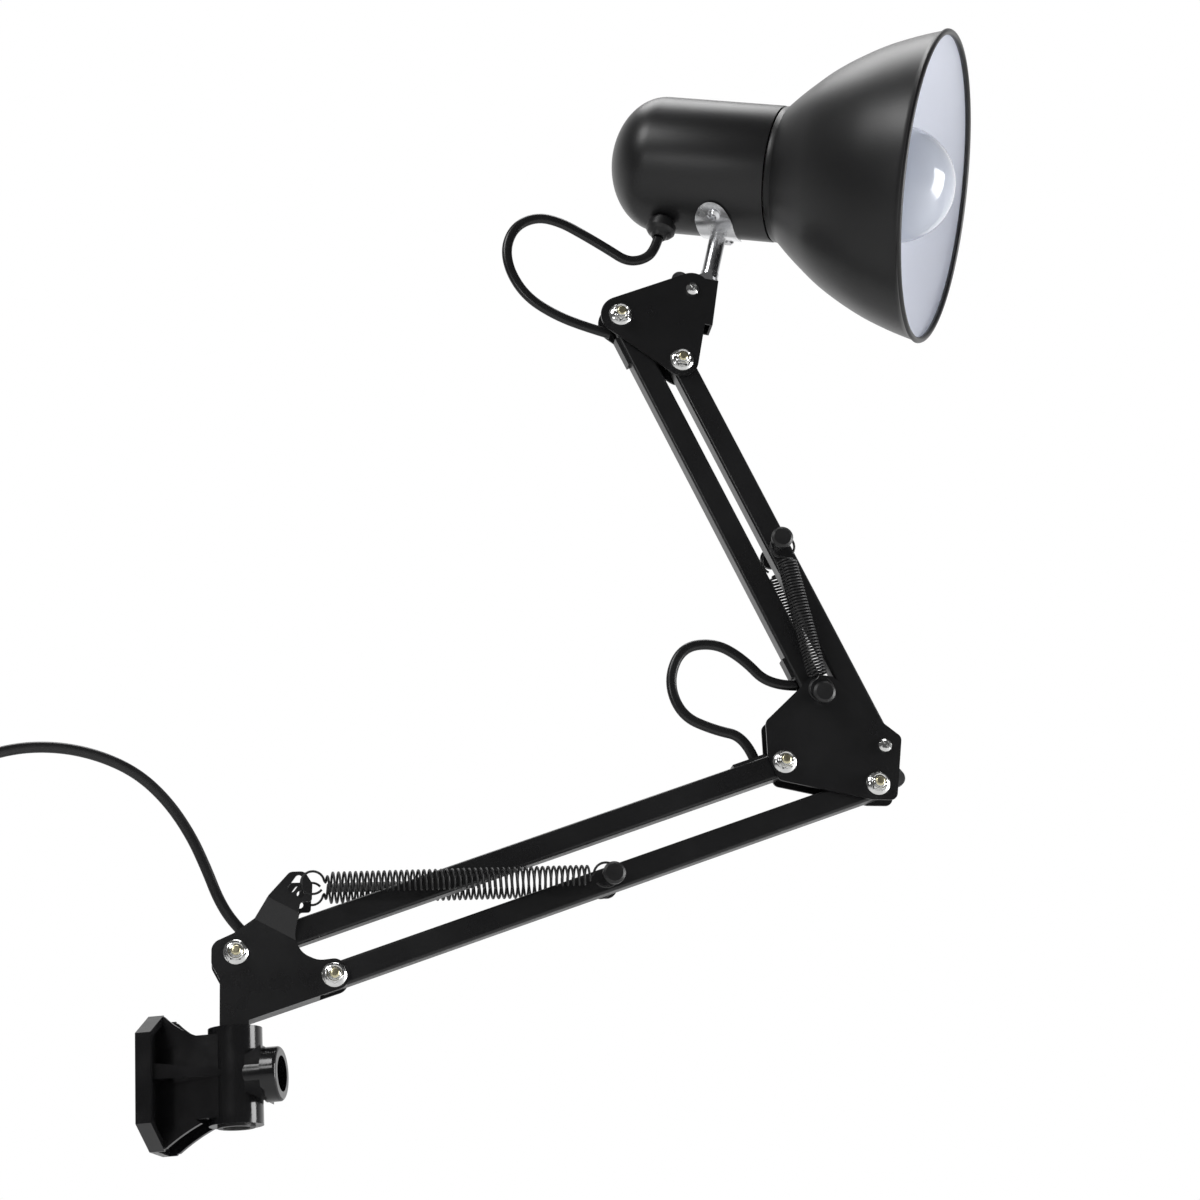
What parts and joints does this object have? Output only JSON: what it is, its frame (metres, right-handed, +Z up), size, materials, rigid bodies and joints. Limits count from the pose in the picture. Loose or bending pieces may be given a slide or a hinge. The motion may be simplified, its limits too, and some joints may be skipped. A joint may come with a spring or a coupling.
{
  "type": "swing arm desk lamp",
  "caption": "Wall-held swing arm lamp with two spring-balanced parallelogram arms, a tilting and swivelling bell shade, and a coiled mains lead.",
  "frame": {"origin": "centre of the wall plate's back face, where the lamp meets the wall", "axes": "+X out of the wall, +Y along the wall, +Z up"},
  "size_m": [0.5297, 0.2673, 0.6177],
  "materials": {
    "bracket_plastic": "satin",
    "bush_nylon": "satin",
    "black_enamel": "satin",
    "head_enamel": "satin",
    "bright_zinc": "bright",
    "bright_chrome": "polished",
    "wing_steel": "satin",
    "spring_steel": "oiled",
    "soft_black": "satin",
    "cord_pvc": "satin",
    "holder_bakelite": "satin",
    "contact_brass": "bright",
    "bulb_pearl": "frosted"
  },
  "bodies": {
    "bracket": {"wall_bracket": "bracket_plastic", "post_bush": "bush_nylon", "mains_cord": "cord_pvc", "mains_cord_coil": "cord_pvc", "cord_tie": "soft_black", "inline_switch_case": "bracket_plastic", "mains_cord_tail": "cord_pvc", "mains_plug": "bracket_plastic"},
    "switch_slider": {"inline_switch_slider": "soft_black"},
    "base_yoke": {"base_yoke": "black_enamel", "swivel_post": "bright_zinc", "base_bolts": "bright_zinc", "base_nuts": "bright_zinc", "base_washers": "bush_nylon"},
    "lower_top_bar": {"lower_top_bar": "black_enamel", "lower_bar_cord_clips": "soft_black", "lower_bar_cord": "cord_pvc"},
    "lower_bottom_bar": {"lower_bottom_bar": "black_enamel", "lower_spring_pin": "bright_zinc", "lower_spring_caps": "soft_black"},
    "elbow": {"elbow_plates": "black_enamel", "elbow_bolts": "bright_zinc", "elbow_nuts": "bright_zinc", "elbow_washers": "bush_nylon", "elbow_axle": "bright_zinc", "elbow_axle_caps": "soft_black", "elbow_clamp_screw": "bright_zinc", "elbow_cord": "cord_pvc"},
    "elbow_wing_nut": {"elbow_wing_nut": "wing_steel"},
    "upper_left_bar": {"upper_left_bar": "black_enamel", "upper_bar_cord_clips": "soft_black", "upper_bar_cord": "cord_pvc"},
    "upper_right_bar": {"upper_right_bar": "black_enamel", "upper_spring_pin": "bright_zinc", "upper_spring_caps": "soft_black"},
    "top_yoke": {"top_yoke": "black_enamel", "top_bolts": "bright_zinc", "top_nuts": "bright_zinc", "top_washers": "bush_nylon", "head_clamp_screw": "bright_zinc", "head_cord": "cord_pvc"},
    "head_wing_nut": {"head_wing_nut": "wing_steel"},
    "head_knuckle": {"head_knuckle": "bright_chrome"},
    "head": {"head_stem": "bright_chrome", "head_saddle": "bright_chrome", "saddle_screws": "bright_chrome", "lamp_cap": "head_enamel", "cord_grommet": "soft_black", "lamp_shade": "head_enamel", "lampholder": "holder_bakelite", "lampholder_ring": "holder_bakelite", "lampholder_contacts": "contact_brass", "bulb_cap": "contact_brass", "bulb_glass": "bulb_pearl"},
    "lower_springs": {"lower_springs": "spring_steel"},
    "lower_spring_loops": {"lower_spring_loops": "spring_steel"},
    "upper_springs": {"upper_springs": "spring_steel"},
    "upper_spring_loops": {"upper_spring_loops": "spring_steel"}
  },
  "joints": [
    {"name": "base_swivel", "type": "hinge", "parent": "bracket", "child": "base_yoke", "pos_m": [0.0382, 0, 0.0237], "axis": [0, 0, 1], "range_deg": [-106, 74], "deforming": ["mains_cord"]},
    {"name": "lower_arm_tilt", "type": "hinge", "parent": "base_yoke", "child": "lower_top_bar", "pos_m": [0.03916, 0.00028, 0.0582], "axis": [0.2756, -0.9613, 0], "range_deg": [-14, 45], "deforming": ["mains_cord", "elbow_cord", "lower_springs", "lower_spring_loops"]},
    {"name": "lower_bottom_bar_pivot", "type": "hinge", "parent": "base_yoke", "child": "lower_bottom_bar", "pos_m": [0.08262, 0.01274, 0.04609], "axis": [0.2756, -0.9613, 0], "range_deg": [-14, 45]},
    {"name": "elbow_pivot", "type": "hinge", "parent": "lower_top_bar", "child": "elbow", "pos_m": [0.29436, 0.07345, 0.14267], "axis": [0.2756, -0.9613, 0], "range_deg": [-45, 14], "deforming": ["elbow_cord"]},
    {"name": "upper_arm_tilt", "type": "hinge", "parent": "elbow", "child": "upper_left_bar", "pos_m": [0.3139, 0.07906, 0.17454], "axis": [0.2756, -0.9613, 0], "range_deg": [-60, 5], "deforming": ["elbow_cord", "head_cord", "upper_springs", "upper_spring_loops"]},
    {"name": "upper_right_bar_pivot", "type": "hinge", "parent": "elbow", "child": "upper_right_bar", "pos_m": [0.34262, 0.08729, 0.14947], "axis": [0.2756, -0.9613, 0], "range_deg": [-60, 5]},
    {"name": "top_yoke_pivot", "type": "hinge", "parent": "upper_left_bar", "child": "top_yoke", "pos_m": [0.23052, 0.05515, 0.37889], "axis": [0.2756, -0.9613, 0], "range_deg": [-5, 60], "deforming": ["head_cord"]},
    {"name": "head_tilt", "type": "hinge", "parent": "top_yoke", "child": "head_knuckle", "pos_m": [0.26688, 0.06557, 0.39272], "axis": [0.2756, -0.9613, 0], "range_deg": [-2, 60], "deforming": ["head_cord"]},
    {"name": "head_swivel", "type": "hinge", "parent": "head_knuckle", "child": "head", "pos_m": [0.27746, 0.06861, 0.40483], "axis": [0.2553, 0.0732, 0.9641], "range_deg": [-98, 142], "deforming": ["head_cord"]},
    {"name": "elbow_wing_nut_turn", "type": "hinge", "parent": "elbow", "child": "elbow_wing_nut", "pos_m": [0.34262, 0.08729, 0.14947], "axis": [0.2756, -0.9613, 0], "continuous": true},
    {"name": "head_wing_nut_turn", "type": "hinge", "parent": "top_yoke", "child": "head_wing_nut", "pos_m": [0.26688, 0.06557, 0.39272], "axis": [0.2756, -0.9613, 0], "continuous": true},
    {"name": "switch_slide", "type": "slide", "parent": "bracket", "child": "switch_slider", "axis": [0, 0, 1], "range_m": [-0.005, 0]},
    {"name": "lower_springs_swing", "type": "hinge", "parent": "base_yoke", "child": "lower_springs", "pos_m": [0.06848, 0.00868, 0.0887], "axis": [0.2756, -0.9613, 0], "range_deg": [-13.68, 43.97], "deforming": ["lower_springs"]},
    {"name": "lower_springs_stretch", "type": "slide", "parent": "lower_springs", "child": "lower_spring_loops", "axis": [0.9613, 0.2756, -0.0032], "range_m": [-0.03401, 0.01058], "deforming": ["lower_spring_loops"]},
    {"name": "upper_springs_swing", "type": "hinge", "parent": "elbow", "child": "upper_springs", "pos_m": [0.3139, 0.07906, 0.17454], "axis": [0.2756, -0.9613, 0], "range_deg": [-68.7, 5.72], "deforming": ["upper_springs"]},
    {"name": "upper_springs_stretch", "type": "slide", "parent": "upper_springs", "child": "upper_spring_loops", "axis": [-0.1736, -0.0498, 0.9836], "range_m": [-0.00298, 0.03581], "deforming": ["upper_spring_loops"]}
  ],
  "couplings": [
    {"joint": "lower_bottom_bar_pivot", "follows": "lower_arm_tilt", "ratio": 1},
    {"joint": "elbow_pivot", "follows": "lower_arm_tilt", "ratio": -1},
    {"joint": "upper_right_bar_pivot", "follows": "upper_arm_tilt", "ratio": 1},
    {"joint": "top_yoke_pivot", "follows": "upper_arm_tilt", "ratio": -1},
    {"joint": "lower_springs_swing", "follows": "lower_arm_tilt", "ratio": 0.977},
    {"joint": "lower_springs_stretch", "follows": "lower_arm_tilt", "m_per_rad": -0.0433},
    {"joint": "upper_springs_swing", "follows": "upper_arm_tilt", "ratio": 1.145},
    {"joint": "upper_springs_stretch", "follows": "upper_arm_tilt", "m_per_rad": -0.0342}
  ]
}
